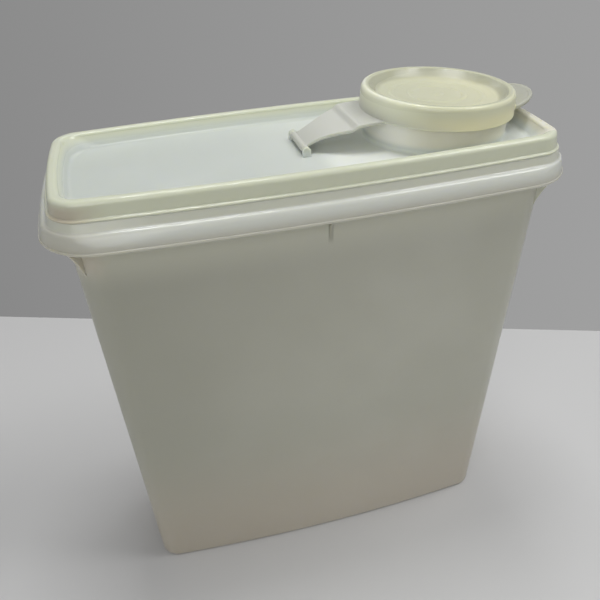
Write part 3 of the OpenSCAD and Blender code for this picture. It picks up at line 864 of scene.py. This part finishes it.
def cap_tints_and_painted_light(nt, co, col):
    """Polished on top, yellower down the skirt, duller on the strap and the thin tab; painted shade darkens
    the dish's wall, and painted light makes the crown's outer side paler and the strap's side whiter.
    """
    x, y, z = axes(nt, co)
    out = maths(nt, "SUBTRACT", x, SPOUT_X * MM)
    squares = maths(nt, "ADD", maths(nt, "MULTIPLY", out, out), maths(nt, "MULTIPLY", y, y))
    r = maths(nt, "SQRT", squares)
    # painted shade in the dish's wall
    dish_wall = both(nt, fade(nt, r, 27.5, 29.5), fade(nt, r, 33.2, 31.8))
    # painted light on the skirt's side towards the strap
    near_strap = both(nt, fade(nt, out, -14, -33), fade(nt, r, 33, 34.5))
    arms = fade(nt, r, CAP_R + 0.2, CAP_R + 1)
    col = layered(nt, col, [
        # painted shade darkens the dish's wall; painted light makes it paler from the crown outwards
        ((0.44, 0.445, 0.34), both(nt, dish_wall, 0.80)),
        ((0.71, 0.715, 0.535), fade(nt, r, 33.8, 35)),
        # yellower down the skirt, and whiter on the strap's side as painted light
        ((0.88, 0.84, 0.56), both(nt, fade(nt, z, 248.5, 241.5), 0.70)),
        ((0.90, 0.915, 0.75), both(nt, near_strap, 0.85)),
        # the strap and the thin tab
        ((0.58, 0.59, 0.535), both(nt, arms, fade(nt, out, 0, -10))),
        ((0.455, 0.46, 0.395), both(nt, arms, fade(nt, out, 0, 10))),
    ])
    return col, fade(nt, z, 248, 250)


def floor_material(name, tone):
    mat, nt, b = principled(name)
    patches = noise(nt, object_space(nt), 3.0)
    nt.links.new(ramp(nt, patches, [(0.3, grey(tone * 0.985)), (0.7, grey(tone))]), b.inputs["Base Color"])
    b.inputs["Roughness"].default_value = 0.6
    b.inputs["Specular IOR Level"].default_value = 0.2
    return mat


def backdrop_material(name, left, right):
    """A pale board, painted darker to the left as painted shade: seen by camera, mirror and glass rays from
    its front, clear to all other light.
    """
    mat, nt, out = new_material(name)
    co = object_space(nt)
    tone = blend(nt, grey(left), grey(right), fade(nt, axes(nt, co)[0], -450, 450))
    tone = blend(nt, tone, grey(0.5), both(nt, noise(nt, co, 2.0), 0.05))
    lit = nt.nodes.new("ShaderNodeEmission")
    nt.links.new(tone, lit.inputs["Color"])
    clear = nt.nodes.new("ShaderNodeBsdfTransparent")
    rays = nt.nodes.new("ShaderNodeLightPath").outputs
    back = nt.nodes.new("ShaderNodeNewGeometry").outputs["Backfacing"]
    seen = either(nt, rays["Is Camera Ray"], rays["Is Glossy Ray"], rays["Is Transmission Ray"])
    board = nt.nodes.new("ShaderNodeMixShader")
    nt.links.new(both(nt, seen, maths(nt, "SUBTRACT", 1.0, back)), board.inputs[0])
    nt.links.new(clear.outputs[0], board.inputs[1])
    nt.links.new(lit.outputs[0], board.inputs[2])
    nt.links.new(board.outputs[0], out.inputs["Surface"])
    return mat


TUB_BASE, TUB_LIGHT, TUB_STAIN = (0.499, 0.499, 0.424), (0.541, 0.541, 0.467), (0.463, 0.433, 0.355)
SEAL_BASE, SEAL_LIGHT, SEAL_STAIN = (0.55, 0.59, 0.55), (0.58, 0.62, 0.58), (0.58, 0.59, 0.505)
CAP_BASE, CAP_LIGHT, CAP_STAIN = (0.585, 0.595, 0.44), (0.615, 0.625, 0.48), (0.60, 0.585, 0.41)
TUB_ROUGH, SEAL_ROUGH, CAP_ROUGH = 0.34, 0.31, 0.31
TUB_MAT = plastic("frosted_natural", TUB_BASE, TUB_LIGHT, TUB_STAIN, TUB_ROUGH, tub_tints_and_painted_light)
SEAL_MAT = plastic("seal_natural", SEAL_BASE, SEAL_LIGHT, SEAL_STAIN, SEAL_ROUGH, seal_tints_and_painted_light)
CAP_MAT = plastic("cap_natural", CAP_BASE, CAP_LIGHT, CAP_STAIN, CAP_ROUGH, cap_tints_and_painted_light)


# ---------------------------------------------------------- pieces
def dress(ob, mat):
    ob.data.materials.clear()
    ob.data.materials.append(mat)


for maker, body, node, slot, mat in ((make_tub, "tub", "container", "tub", TUB_MAT),
                                     (make_seal, "seal", "seal", "seal", SEAL_MAT),
                                     (make_cap, "cap", "flip_cap", "cap", CAP_MAT)):
    piece = finish_mesh(maker())
    dress(piece, mat)
    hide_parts(node)
    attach(piece, body)
    dress(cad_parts[node], mat)

# ---------------------------------------------------------- stage, light and camera, in metres
FLOOR_REACH, FLOOR_TONE = 4.0, 0.65
# the board stands behind the tub, turned a little against the tub's length, and is painted darker to the
# left as painted shade
BOARD_AT, BOARD_TURN, BOARD_REACH = Vector((0.0573, 0.1675, 0.0)), -20.5, 3.0
BOARD_LEFT, BOARD_RIGHT = 0.22, 0.36

# name, place, the point it faces, the side of its square and its power in watts
LIGHTS = (
    # high, a little behind the tub
    ("overhead", (0.0, 0.14, 1.2), (0.0, 0.0, 0.2), 0.34, 3.7),
    # weak, from behind and above
    ("rim", (0.05, 0.95, 0.95), (0.0, 0.0, 0.2), 0.25, 0.8),
    # high, from the right
    ("side", (0.62, -0.15, 1.12), (0.0, 0.0, 0.05), 0.5, 4.5),
    # large, from the left in front
    ("front", (-0.60, -1.12, 0.76), (0.0, 0.0, 0.15), 1.0, 5.2),
)
# even light from all round
WORLD_LIGHT = 0.25

# the camera's place, then its angles in degrees, and its lens and sensor in millimetres
CAMERA_AT = (-0.07856, -0.29082, 0.34353)
CAMERA_TURN, CAMERA_RISE, CAMERA_ROLL = -14.4588, 33.5948, -2.1436
CAMERA_LENS, CAMERA_SENSOR = 40.434, 36.0


def quad(name, pts, mat):
    mesh = bpy.data.meshes.new(name)
    mesh.from_pydata(pts, [], [(0, 1, 2, 3)])
    mesh.materials.append(mat)
    link(name, mesh)


def make_stage():
    r = FLOOR_REACH
    quad("floor", [(-r, -r, 0), (r, -r, 0), (r, r, 0), (-r, r, 0)], floor_material("floor", FLOOR_TONE))
    c, s = cos_sin(BOARD_TURN)
    along = Vector((c, s, 0.0)) * BOARD_REACH
    rise = Vector((0.0, 0.0, BOARD_REACH))
    low = [BOARD_AT - along, BOARD_AT + along]
    quad("backdrop", low + [low[1] + rise, low[0] + rise],
         backdrop_material("backdrop", BOARD_LEFT, BOARD_RIGHT))


def make_light(name, at, target, size, power):
    lamp = bpy.data.lights.new(name, "AREA")
    lamp.shape = "SQUARE"
    lamp.size = size
    lamp.energy = power
    ob = link(name, lamp)
    ob.location = at
    ob.rotation_euler = (Vector(target) - Vector(at)).to_track_quat("-Z", "Y").to_euler()


def make_world():
    world = bpy.data.worlds.new("studio")
    bpy.context.scene.world = world
    world.use_nodes = True
    background = world.node_tree.nodes["Background"]
    background.inputs["Color"].default_value = (1.0, 1.0, 1.0, 1.0)
    background.inputs["Strength"].default_value = WORLD_LIGHT


def make_camera():
    """The camera: turned about Z, raised above the horizon, then rolled."""
    lens = bpy.data.cameras.new("camera")
    lens.sensor_width = CAMERA_SENSOR
    lens.lens = CAMERA_LENS
    lens.clip_start = 0.01
    ct, st = cos_sin(CAMERA_TURN)
    cr, sr = cos_sin(CAMERA_RISE)
    back = Vector((st * cr, -ct * cr, sr))
    right = (-back).cross(Vector((0, 0, 1))).normalized()
    up = right.cross(-back)
    c, s = cos_sin(CAMERA_ROLL)
    turn = Matrix((right * c + up * s, up * c - right * s, back)).transposed().to_4x4()
    ob = link("camera", lens)
    ob.matrix_world = Matrix.Translation(CAMERA_AT) @ turn
    bpy.context.scene.camera = ob


make_stage()
for light in LIGHTS:
    make_light(*light)
make_world()
make_camera()
bpy.context.scene.view_settings.view_transform = "Standard"
